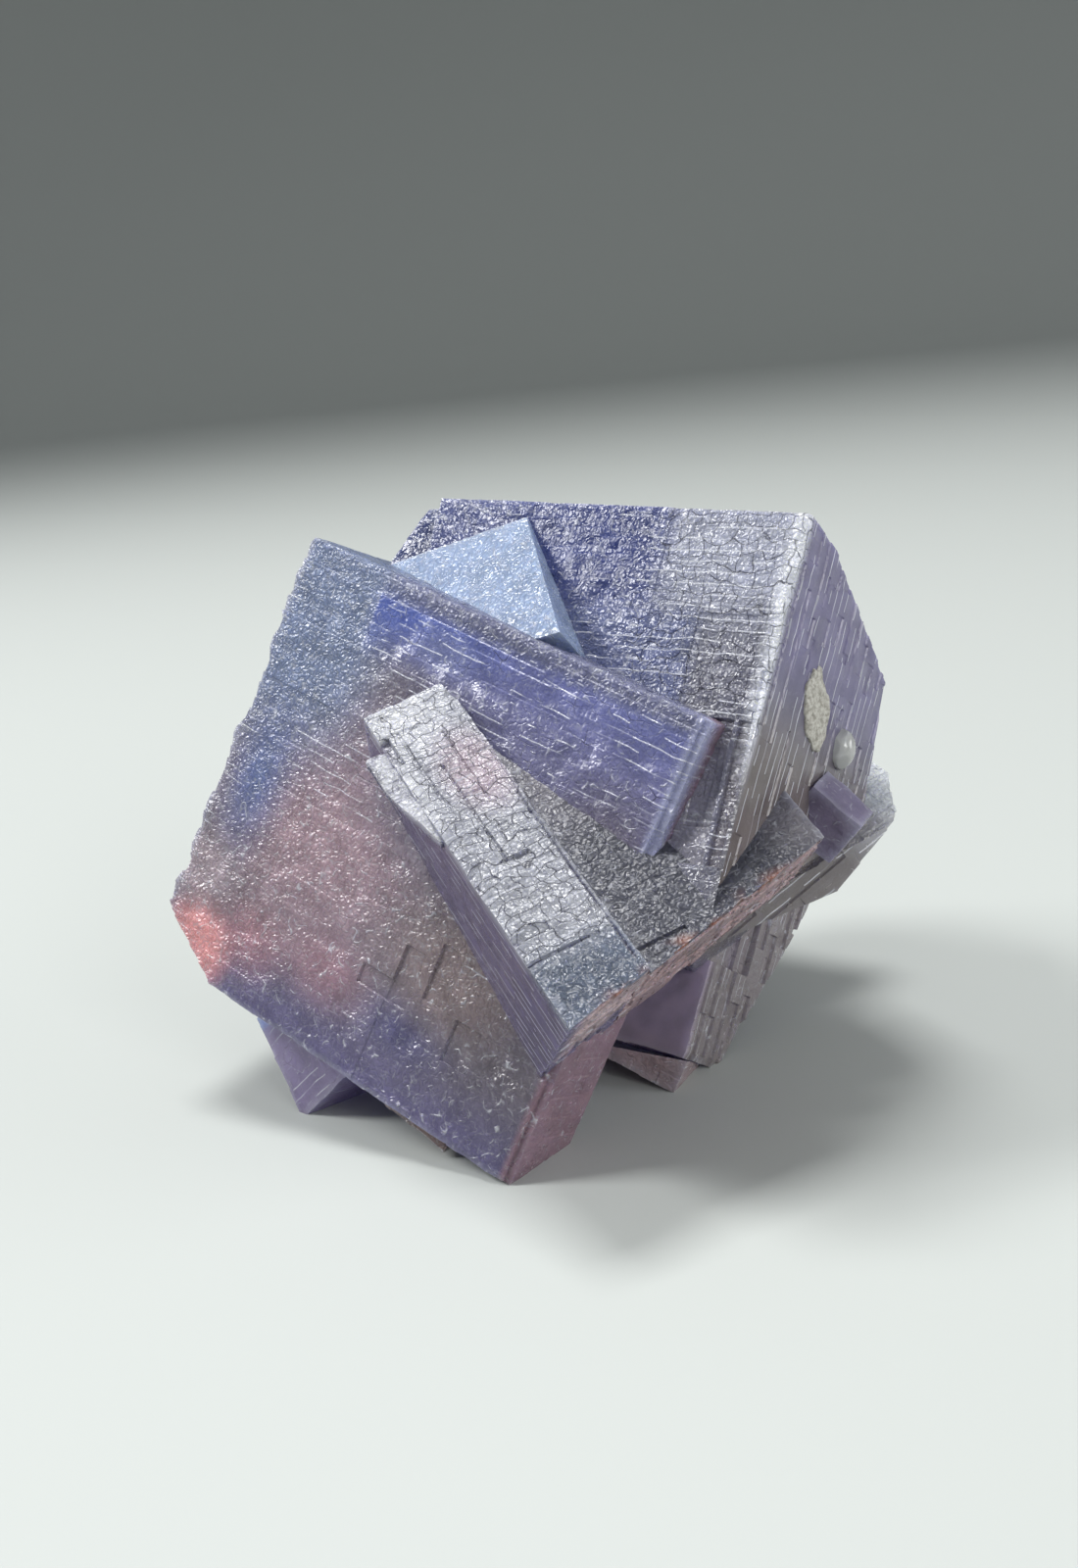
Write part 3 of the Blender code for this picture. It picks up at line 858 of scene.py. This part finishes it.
@dataclass
class Cluster:
    """All the cubes, grown into one closed solid with a flat cut below."""

    crystals: tuple[Crystal, ...] = GROUP

    def build(self) -> Piece:
        """Carve each cube and grow them together.

        Returns:
            The cluster's object, with its finish on it.
        """
        pieces = []
        for crystal in self.crystals:
            piece = crystal.build()
            LOG.info("%s: %d faces", crystal.name, len(piece.data.polygons))
            pieces.append(piece)
        cluster = pieces[0]
        cluster.name = "fluorite_group"
        for piece in pieces[1:]:
            combine(cluster, piece, "UNION")
        deselect_all()
        bpy.ops.mesh.primitive_cube_add(size=2 * FLOOR_CUT, location=(0, 0, -FLOOR_CUT))
        bpy.context.object.data.materials.append(cluster.data.materials[len(Side)])
        combine(cluster, bpy.context.object, "DIFFERENCE")
        make_active(cluster)
        bpy.ops.object.mode_set(mode="EDIT")
        bpy.ops.mesh.select_all(action="SELECT")
        bpy.ops.mesh.quads_convert_to_tris()
        bpy.ops.object.mode_set(mode="OBJECT")
        drop_crumbs(cluster)
        self.paint(cluster)
        make_active(cluster)
        bpy.ops.object.shade_smooth_by_angle(angle=SHARP)
        cluster.data.materials.clear()
        cluster.data.materials.append(FluoriteFinish().make())
        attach(cluster, "root")
        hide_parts("fluorite_cluster")
        return cluster

    def paint(self, cluster: Piece) -> None:
        """Give each corner its place in its own cube, its colour with painted sheen and edge
        highlights, and its etching.

        Args:
            cluster: the joined cubes, each face still marked with its cube and side.
        """
        mesh = cluster.data
        points = read_points(mesh)[read(mesh.loops, "vertex_index")]
        owner = np.repeat(read(mesh.polygons, "material_index"),
                          read(mesh.polygons, "loop_total"))
        grain = np.zeros((len(points), 3))
        tint = np.ones((len(points), 4))
        etch = np.zeros((len(points), 4))
        crystals = {crystal.name: crystal for crystal in self.crystals}
        for number, material in enumerate(mesh.materials):
            name, mark = material.name.split(":")
            crystal = crystals[name]
            mine = owner == number
            back = np.array(crystal.to_group.inverted())
            own = points[mine] @ back[:3, :3].T + back[:3, 3]
            grain[mine], tint[mine, :3], etch[mine] = crystal.paint(own, int(mark))
        for name, kind, values in (("grain", "vector", grain), ("tint", "color", tint),
                                   ("etch", "color", etch)):
            layer = mesh.attributes.new(name, f"FLOAT_{kind.upper()}", "CORNER")
            layer.data.foreach_set(kind, values.astype(np.float32).ravel())


# ---- finishes
class Graph:
    """One material's nodes, added one by one and wired as they are added."""

    def __init__(self, name: str) -> None:
        """Start a material with a Principled surface.

        Args:
            name: the material's name.
        """
        self.material = bpy.data.materials.new(name)
        self.material.use_nodes = True
        self.tree = self.material.node_tree
        self.surface = self.tree.nodes["Principled BSDF"]
        self.output = self.tree.nodes["Material Output"]

    def add(self, kind: str, inputs: dict | None = None, **settings: object) -> Node:
        """Add a node.

        Args:
            kind: the node's type, without "ShaderNode".
            inputs: a value or a socket for each input, by its name or number.
            settings: the node's own properties.

        Returns:
            The node.
        """
        node = self.tree.nodes.new("ShaderNode" + kind)
        for key, value in settings.items():
            setattr(node, key, value)
        self.fill(node, inputs or {})
        return node

    def fill(self, node: Node, inputs: dict) -> None:
        """Set or wire a node's inputs.

        Args:
            node: the node.
            inputs: a value or a socket for each input, by its name or number.
        """
        for key, value in inputs.items():
            if isinstance(value, Socket):
                self.tree.links.new(value, node.inputs[key])
            else:
                node.inputs[key].default_value = value

    def math(self, operation: str, *values: object) -> Socket:
        """Return the result of a Math node."""
        return self.add("Math", dict(enumerate(values)), operation=operation).outputs[0]

    def vector(self, operation: str, *values: object) -> Socket:
        """Return the vector result of a Vector Math node."""
        return self.add("VectorMath", dict(enumerate(values)), operation=operation).outputs[0]

    def times(self, *values: object) -> Socket:
        """Return the product of values."""
        return reduce(lambda product, value: self.math("MULTIPLY", product, value), values)

    def blend(self, share: object, first: object, second: object, mode: str = "MIX") -> Socket:
        """Return a mix of two colours."""
        inputs = {0: share, 6: first, 7: second}
        return self.add("Mix", inputs, data_type="RGBA", blend_type=mode).outputs[2]

    def ramp(self, value: Socket, low: float, high: float, start: float = 0.0,
             end: float = 1.0) -> Socket:
        """Return a value moved from one range to another, held at its ends."""
        inputs = {"Value": value, "From Min": low, "From Max": high, "To Min": start, "To Max": end}
        return self.add("MapRange", inputs, clamp=True).outputs["Result"]

    def noise(self, place: Socket, scale: float, detail: float = 2.0, rough: float = 0.5) -> Socket:
        """Return a noise value at a place."""
        return self.add("TexNoise", {"Vector": place, "Scale": scale, "Detail": detail,
                                     "Roughness": rough}).outputs["Fac"]

    def noises(self, place: Socket, scale: float) -> list[Socket]:
        """Return three noises of one size."""
        node = self.add("TexNoise", {"Vector": place, "Scale": scale, "Detail": 1.0})
        return list(self.add("SeparateColor", {0: node.outputs["Color"]}).outputs)

    def crease(self, noise: Socket, width: float, bottom: float = 0.0, top: float = 1.0) -> Socket:
        """Return a value that goes from bottom to top away from a noise's winding middle lines."""
        away = self.math("ABSOLUTE", self.math("SUBTRACT", noise, 0.5))
        return self.ramp(away, 0.0, width, bottom, top)

    def bump(self, height: Socket, strength: float = 1.0, rise: float = 1.0) -> Socket:
        """Return the normal of a skin with a height, which is 1 at `rise` mm."""
        inputs = {"Strength": strength, "Distance": rise * MM, "Height": height}
        return self.add("Bump", inputs).outputs["Normal"]


@dataclass(frozen=True)
class Bricks:
    """A pattern of brick-like growth plates in random greys, mm."""

    width: float
    row: float
    offset: float  # how far every other row is shifted, as a share of a plate
    squash: float  # width of the plates in the narrow rows, as a share
    every: int  # one row in this many is narrow
    joint: float = 0.0
    blur: float = 0.7  # share of the joint over which it fades

    def lay(self, graph: Graph, place: Socket) -> bpy.types.bpy_prop_collection:
        """Return the pattern's outputs.

        Args:
            graph: the material's nodes.
            place: a point's place on its side, mm.

        Returns:
            "Color", each plate's grey, and "Fac", 1 in the joints.
        """
        return graph.add("TexBrick", {
            "Vector": place, "Color1": BLACK, "Color2": WHITE, "Mortar": BLACK, "Scale": 1.0,
            "Mortar Size": self.joint, "Mortar Smooth": self.blur, "Brick Width": self.width,
            "Row Height": self.row},
            offset=self.offset, squash=self.squash, squash_frequency=self.every).outputs


@dataclass(frozen=True)
class FluoriteFinish:
    """Clear violet-blue fluorite with an etched skin; sizes in mm.

    A pair says between which two values of a noise or of the etching a pattern fades in.
    """

    ior: float = 1.434
    transmission: float = 0.40
    absorbed: Colour = (0.55, 0.52, 0.85)
    density: float = 30.0  # per metre
    softness: float = 0.35  # share of the light that spreads inside
    spread: float = 0.002  # how far it spreads, metres
    spread_colour: Colour = (0.7, 0.7, 1.0)
    slow: float = 0.45  # scale of the noise behind clouds, arcs and terraces
    quick: float = 1.45  # scale of the noise behind pebbles and threads
    pebble_rise: float = 0.09
    pebble_width: float = 0.16
    pebble_shade: Pair = (0.42, 0.0)  # from the creases' bottom to half way up
    arc_rise: float = 0.05
    arc_width: float = 0.016
    arc_noise: Pair = (0.50, 0.60)
    arc_etching: Pair = (0.1, 0.4)
    thread_width: float = 0.035
    thread_noise: Pair = (0.45, 0.55)
    thread_strength: float = 0.75
    plate_rise: float = 0.06
    plates: Bricks = Bricks(1.5, 1.05, 0.43, 0.7, 3, 0.05)
    plate_stray: Vec = (2.4, 2.4, 0.0)  # how far the slow noise bends the rows
    plate_groups: float = 1.5  # how much the slow noise gathers the plates in groups
    plate_noise: Pair = (1.25, 1.65)
    plate_etching: Pair = (0.15, 0.30)
    terrace_rise: float = 0.05
    terraces: Bricks = Bricks(2.7, 0.9, 0.37, 0.6, 2)
    terrace_stray: Vec = (0.9, 0.45, 0.0)
    terrace_noise: Pair = (0.90, 1.02)
    terrace_breaks: Pair = (0.35, 0.55)
    riser: float = 0.09  # how much of a terrace its riser takes
    riser_line: Pair = (0.9, 1.7)
    clouds: Pair = (0.98, 1.30)  # least and most brightness
    polish: Pair = (0.8, 1.2)
    # painted highlights: colour and strength of the pale lines on terrace fronts, arcs and threads
    pale: Colour = (0.74, 0.76, 0.82)
    highlight_strength: float = 0.7
    # colour of the dark joints between plates and of the painted shade in the pebbles' creases
    dark: Colour = (0.03, 0.03, 0.045)
    joints_and_crease_shade: float = 0.75
    stain: Colour = (0.40, 0.13, 0.05)
    stain_noise: Pair = (0.42, 0.6)

    def make(self) -> Material:
        """Wire the skin's height and colour over the clear body.

        Returns:
            The material.
        """
        graph = Graph("violet_fluorite")
        grain, tint, etching = (graph.add("Attribute", attribute_name=name).outputs
                                for name in ("grain", "tint", "etch"))
        etch = graph.add("SeparateColor", {0: etching["Color"]}).outputs
        slow = graph.noises(grain["Vector"], self.slow)
        quick = graph.noises(grain["Vector"], self.quick)
        stray = graph.add("CombineXYZ", {0: slow[0], 1: slow[1]}).outputs[0]
        place = graph.vector("MULTIPLY_ADD", stray, self.terrace_stray, grain["Vector"])
        crests, fronts = self.step(graph, place, graph.math("ADD", slow[2], etch[1]))
        mosaic = self.plates.lay(
            graph, graph.vector("MULTIPLY_ADD", stray, self.plate_stray, grain["Vector"]))
        grouped = graph.math("MULTIPLY_ADD", slow[1], self.plate_groups, etch[1])
        plated = graph.times(graph.ramp(grouped, *self.plate_noise),
                             graph.ramp(etch[0], *self.plate_etching))
        gaps = graph.times(mosaic["Fac"], plated)
        steps = graph.times(mosaic["Color"], plated)
        pebbles = graph.math("MINIMUM", graph.crease(quick[0], self.pebble_width),
                             graph.crease(quick[1], self.pebble_width))
        arcs = graph.times(graph.crease(slow[2], self.arc_width, 1.0, 0.0),
                           graph.ramp(quick[2], *self.arc_noise),
                           graph.ramp(etch[0], *self.arc_etching))
        threads = graph.times(graph.crease(quick[1], self.thread_width, 1.0, 0.0),
                              graph.ramp(quick[2], *self.thread_noise),
                              etch[0], self.thread_strength)
        height = graph.times(pebbles, etch[0], self.pebble_rise)
        for part, rise in ((arcs, self.arc_rise), (crests, self.terrace_rise),
                           (steps, self.plate_rise), (gaps, -self.plate_rise)):
            height = graph.math("MULTIPLY_ADD", part, rise, height)
        clouds = graph.ramp(slow[1], *USUAL, *self.clouds)
        grey = graph.add("CombineColor", {0: clouds, 1: clouds, 2: clouds}).outputs[0]
        colour = graph.blend(1.0, tint["Color"], grey, "MULTIPLY")
        # painted highlights: pale lines on the terrace fronts, arcs and threads
        light = graph.math("MAXIMUM", fronts, graph.math("MAXIMUM", arcs, threads))
        # painted shade darkening the pebbles' creases
        creases = graph.times(graph.ramp(pebbles, 0.0, 0.5, *self.pebble_shade), etch[0])
        rust = graph.times(etching["Alpha"], graph.ramp(slow[0], *self.stain_noise))
        # blend in the painted highlights, the dark plate joints with the painted crease shade, and
        # the iron stain
        for share, paint in (
                (graph.times(light, self.highlight_strength), self.pale),
                (graph.times(graph.math("MAXIMUM", gaps, creases), self.joints_and_crease_shade), self.dark),
                (rust, self.stain)):
            colour = graph.blend(share, colour, (*paint, 1.0))
        graph.fill(graph.surface, {
            "Base Color": colour, "Normal": graph.bump(height),
            "Roughness": graph.times(etch[2], graph.ramp(quick[2], *USUAL, *self.polish)),
            "Subsurface Weight": self.softness, "Subsurface Scale": self.spread,
            "Subsurface Radius": self.spread_colour,
            "IOR": self.ior, "Transmission Weight": self.transmission})
        volume = graph.add("VolumeAbsorption", {"Color": (*self.absorbed, 1.0),
                                                "Density": self.density})
        graph.fill(graph.output, {"Volume": volume.outputs[0]})
        return graph.material

    def step(self, graph: Graph, place: Socket, share: Socket) -> tuple[Socket, Socket]:
        """Build the fine growth terraces, broken into bricks that stand at odd heights.

        Args:
            graph: the material's nodes.
            place: a point's place on its side, mm.
            share: slow noise plus how much of the side has terraces.

        Returns:
            The terraces' height from 0 to 1, and the same for the painted highlight lines along
            their fronts.
        """
        up = graph.add("SeparateXYZ", {0: place}).outputs[1]
        climb = graph.math("FRACT", graph.math("DIVIDE", up, self.terraces.row))
        rising = graph.math("DIVIDE", climb, 1.0 - self.riser)
        falling = graph.math("DIVIDE", graph.math("SUBTRACT", 1.0, climb), self.riser)
        bricks = self.terraces.lay(graph, place)["Color"]
        there = graph.times(graph.ramp(share, *self.terrace_noise),
                            graph.ramp(bricks, *self.terrace_breaks))
        lines = graph.ramp(falling, *self.riser_line, 1.0, 0.0)
        return graph.times(graph.math("MINIMUM", rising, falling), there), graph.times(lines, there)


@dataclass(frozen=True)
class CrustFinish:
    """Matte, grainy grey-beige crust."""

    pale: Colour = (0.43, 0.42, 0.385)
    dark: Colour = (0.20, 0.19, 0.165)
    roughness: float = 0.85
    grains: Vec = (2600.0, 3.0, 0.7)  # scale per metre, detail and roughness of the noise
    shades: Pair = (0.35, 0.62)
    bump: Pair = (0.9, 0.12)  # strength, and height in mm

    def make(self) -> Material:
        """Wire one noise to both colour and height.

        Returns:
            The material.
        """
        graph = Graph("grey_crust")
        grains = graph.noise(graph.add("TexCoord").outputs["Object"], *self.grains)
        shade = graph.ramp(grains, *self.shades)
        graph.fill(graph.surface, {
            "Base Color": graph.blend(shade, (*self.dark, 1.0), (*self.pale, 1.0)),
            "Roughness": self.roughness, "Normal": graph.bump(grains, *self.bump)})
        return graph.material


@dataclass(frozen=True)
class ClearGrainFinish:
    """Glassy, nearly colourless grain."""

    colour: Colour = (0.90, 0.92, 0.88)
    ior: float = 1.544
    transmission: float = 0.68
    polish: Pair = (0.03, 0.14)
    smears: Pair = (1500.0, 2.0)  # scale per metre and detail of the noise
    dents: Pair = (900.0, 3.0)
    bump: Pair = (0.6, 0.2)  # strength, and height in mm

    def make(self) -> Material:
        """Wire a dented, unevenly polished glass.

        Returns:
            The material.
        """
        graph = Graph("clear_grain")
        place = graph.add("TexCoord").outputs["Object"]
        polish = graph.ramp(graph.noise(place, *self.smears), *USUAL, *self.polish)
        graph.fill(graph.surface, {
            "Base Color": (*self.colour, 1.0), "Roughness": polish, "IOR": self.ior,
            "Transmission Weight": self.transmission,
            "Normal": graph.bump(graph.noise(place, *self.dents), *self.bump)})
        return graph.material


# ---- the two other minerals
@dataclass(frozen=True)
class Seat:
    """Where another mineral sits on the back cube's right side, mm."""

    depth: float  # along the cube's own Y
    height: float  # along its own Z
    lean: float  # turn about the side's normal, degrees
    sink: float  # how far it is sunk under the side's flat
    under: float = 0.3  # how thick its hidden half is, as a share

    def settle(self, piece: Piece, points: Array) -> None:
        """Put a modelled mineral in its place.

        Args:
            piece: the mineral's object.
            points: its vertices, Z out of the side, mm.
        """
        points[:, 2] *= np.where(points[:, 2] < 0, self.under, 1)
        write_points(piece.data, points)
        base, across, upward = BACK_CUBE.sides[Side.RIGHT].tilt
        surface = BACK_CUBE.size[0] - base - across * self.depth - upward * self.height
        out = Vector((1.0, across, upward)).normalized()
        up = (Vector((0.0, 0.0, 1.0)) - out * out.z).normalized()
        axes = Matrix((up.cross(out), up, out)).transposed().to_4x4()
        foot = Matrix.Translation(Vector((surface, self.depth, self.height)) - out * self.sink)
        turn = Matrix.Rotation(math.radians(self.lean), 4, "Z")
        piece.data.transform(BACK_CUBE.to_group @ foot @ axes @ turn)


@dataclass
class Crust:
    """The grey crust: a thin scab with a ragged rim, mm."""

    width: float = 3.6
    length: float = 7.0
    rise: float = 0.55
    seat: Seat = Seat(8.3, 20.3, 35.0, 0.15)
    seed: int = 21
    ragged: Pair = (0.82, 0.30)  # least reach of the rim, and how much it varies
    lump: float = 0.55  # spacing of the rim's notches and of the lumps
    grit: float = 0.2  # spacing of the fine grains
    grit_rise: float = 0.12

    def build(self) -> Piece:
        """Flatten a ball to a scab with lumps and grit.

        Returns:
            The crust's object, finished.
        """
        deselect_all()
        bpy.ops.mesh.primitive_uv_sphere_add(segments=72, ring_count=36, radius=1.0)
        piece = bpy.context.object
        piece.name = "grey_crust"
        points = read_points(piece.data)
        round_rim = np.arctan2(points[:, 1], points[:, 0]) * 2.2
        notches = rolling(round_rim, np.zeros_like(round_rim), (self.lump, 1.0), self.seed)
        points[:, :2] *= (self.ragged[0] + self.ragged[1] * notches)[:, None]
        points *= [self.width / 2, self.length / 2, 1.0]
        x, y, z = points.T
        lumps = 0.55 + 0.45 * rolling(x, y, (self.lump, self.lump), self.seed + 1)
        grit = self.grit_rise * rolling(x, y, (self.grit, self.grit), self.seed + 2)
        points[:, 2] = np.where(z > 0, np.clip(z, 0, 1) ** 0.4 * (self.rise * lumps + grit), z)
        self.seat.settle(piece, points)
        bpy.ops.object.shade_smooth()
        piece.data.materials.append(CrustFinish().make())
        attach(piece, "root")
        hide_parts("calcite_scab")
        return piece


@dataclass
class ClearGrain:
    """The clear grain beside the crust: rounded and faintly faceted, mm."""

    width: float = 2.3
    length: float = 3.3
    rise: float = 1.25
    seat: Seat = Seat(13.7, 19.0, 12.0, 0.1)
    seed: int = 5
    flats: int = 11
    flat_reach: float = 0.90  # how far from the middle the flats lie, as a share

    def build(self) -> Piece:
        """Grind flats on a ball.

        Returns:
            The grain's object, finished.
        """
        deselect_all()
        bpy.ops.mesh.primitive_ico_sphere_add(subdivisions=5, radius=1.0)
        piece = bpy.context.object
        piece.name = "clear_grain"
        points = read_points(piece.data)
        flats = np.random.default_rng(self.seed).normal(size=(self.flats, 3))
        flats /= np.linalg.norm(flats, axis=1)[:, None]
        reach = (points @ flats.T).max(axis=1)
        points *= (self.flat_reach / np.maximum(reach, self.flat_reach))[:, None]
        points *= [self.width / 2, self.length / 2, self.rise]
        self.seat.settle(piece, points)
        bpy.ops.object.shade_smooth_by_angle(angle=SHARP)
        piece.data.materials.append(ClearGrainFinish().make())
        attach(piece, "root")
        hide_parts("quartz_bead")
        return piece


# ---- stage
@dataclass(frozen=True)
class Camera:
    """The camera, a little above the specimen, mm."""

    lens: float = 38.25
    sensor: float = 36.0
    near: float = 5.0  # nothing closer than this is drawn
    spot: Vec = (1.8, -133.6, 60.7)
    right: Vec = (0.9946, -0.0264, -0.1)
    up: Vec = (0.1034, 0.2536, 0.9618)

    def place(self) -> None:
        """Add the camera and look through it."""
        data = bpy.data.cameras.new("camera")
        data.lens = self.lens
        data.sensor_width = self.sensor
        data.clip_start = self.near * MM
        camera = bpy.data.objects.new("camera", data)
        right = Vector(self.right).normalized()
        back = Vector(self.right).cross(Vector(self.up)).normalized()
        axes = Matrix((right, back.cross(right), back)).transposed().to_4x4()
        camera.matrix_world = Matrix.Translation(Vector(self.spot) * MM) @ axes
        bpy.context.collection.objects.link(camera)
        bpy.context.scene.camera = camera


@dataclass(frozen=True)
class Light:
    """A square soft light that looks at the specimen's middle, metres."""

    name: str
    spot: Vec
    size: float
    power: float

    def hang(self) -> None:
        """Add the light."""
        data = bpy.data.lights.new(self.name, "AREA")
        data.shape = "SQUARE"
        data.size = self.size
        data.energy = self.power
        light = bpy.data.objects.new(self.name, data)
        light.location = self.spot
        sight = Vector(MIDDLE) - Vector(self.spot)
        light.rotation_euler = sight.to_track_quat("-Z", "Y").to_euler()
        bpy.context.collection.objects.link(light)


MIDDLE = (0, 0, 0.02)
LIGHTS = (Light("top_light", (-0.07, 0.16, 1.0), 0.30, 9.0),
          Light("left_light", (-0.74, 0.10, 0.67), 0.32, 9.5),
          Light("near_light", (0.45, -0.85, 0.45), 0.35, 4.0),
          Light("right_light", (0.95, -0.25, 0.20), 0.60, 6.0))


@dataclass
class Stage:
    """Pale floor, soft lights and the room's own light, metres."""

    radius: float = 2.2
    curve: float = 0.9  # radius of the sweep from floor to wall
    wall: float = 1.6
    turns: int = 8
    colour: Colour = (0.38, 0.40, 0.385)
    roughness: float = 0.6
    room: Colour = (0.62, 0.64, 0.66)
    room_strength: float = 0.80
    lights: tuple[Light, ...] = LIGHTS

    def build(self) -> None:
        """Lay the floor with its rising rim and hang the lights."""
        deselect_all()
        bpy.ops.mesh.primitive_circle_add(vertices=96, radius=self.radius, fill_type="NGON")
        floor = bpy.context.object
        floor.name = "floor"
        bpy.ops.object.mode_set(mode="EDIT")
        bpy.ops.mesh.select_all(action="SELECT")
        bpy.ops.mesh.region_to_loop()
        reach, height = self.radius, 0.0
        for turn in range(1, self.turns + 1):
            angle = math.radians(90) * turn / self.turns
            next_reach = self.radius + self.curve * math.sin(angle)
            next_height = self.curve * (1 - math.cos(angle))
            bpy.ops.mesh.extrude_region_move(
                TRANSFORM_OT_translate={"value": (0, 0, next_height - height)})
            bpy.ops.transform.resize(value=(next_reach / reach, next_reach / reach, 1))
            reach, height = next_reach, next_height
        bpy.ops.mesh.extrude_region_move(TRANSFORM_OT_translate={"value": (0, 0, self.wall)})
        bpy.ops.mesh.select_all(action="SELECT")
        bpy.ops.mesh.normals_make_consistent(inside=True)
        bpy.ops.object.mode_set(mode="OBJECT")
        bpy.ops.object.shade_smooth()
        graph = Graph("pale_floor")
        graph.fill(graph.surface, {"Base Color": (*self.colour, 1.0), "Roughness": self.roughness})
        floor.data.materials.append(graph.material)
        for light in self.lights:
            light.hang()
        world = bpy.data.worlds.new("room")
        world.use_nodes = True
        background = world.node_tree.nodes["Background"]
        background.inputs["Color"].default_value = (*self.room, 1.0)
        background.inputs["Strength"].default_value = self.room_strength
        bpy.context.scene.world = world
        bpy.context.scene.view_settings.view_transform = "Standard"


def main() -> None:
    """Build the specimen and its stage."""
    logging.basicConfig(level=logging.INFO, format="%(name)s %(message)s")
    for maker in (Cluster(), Crust(), ClearGrain()):
        piece = maker.build()
        LOG.info("%s: %d faces", piece.name, len(piece.data.polygons))
    Stage().build()
    Camera().place()


if __name__ == "__main__":
    main()
